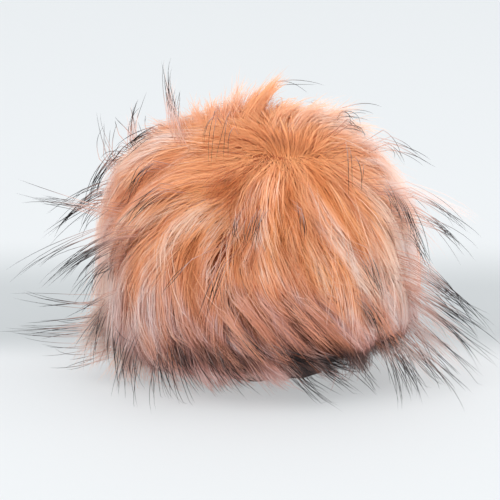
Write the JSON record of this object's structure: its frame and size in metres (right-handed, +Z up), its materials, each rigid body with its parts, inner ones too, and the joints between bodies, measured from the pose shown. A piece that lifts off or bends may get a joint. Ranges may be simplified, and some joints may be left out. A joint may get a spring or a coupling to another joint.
{
  "type": "pom pom",
  "caption": "Round long-pile faux-fur pom pom, lying on a level surface, its combed locks parted at a crown and guard hairs standing out all round.",
  "frame": {"origin": "middle of the flat spot underneath, on the surface that the pom pom lies on", "axes": "+Z up from that surface; +X to the right and -Y towards a viewer who sees the crown lean towards them"},
  "size_m": [0.1577, 0.1748, 0.0944],
  "materials": {
    "fur": "long-pile faux fur, peach orange with black-tipped guard hairs"
  },
  "bodies": {
    "root": {"fur_ball": "fur"}
  },
  "joints": []
}
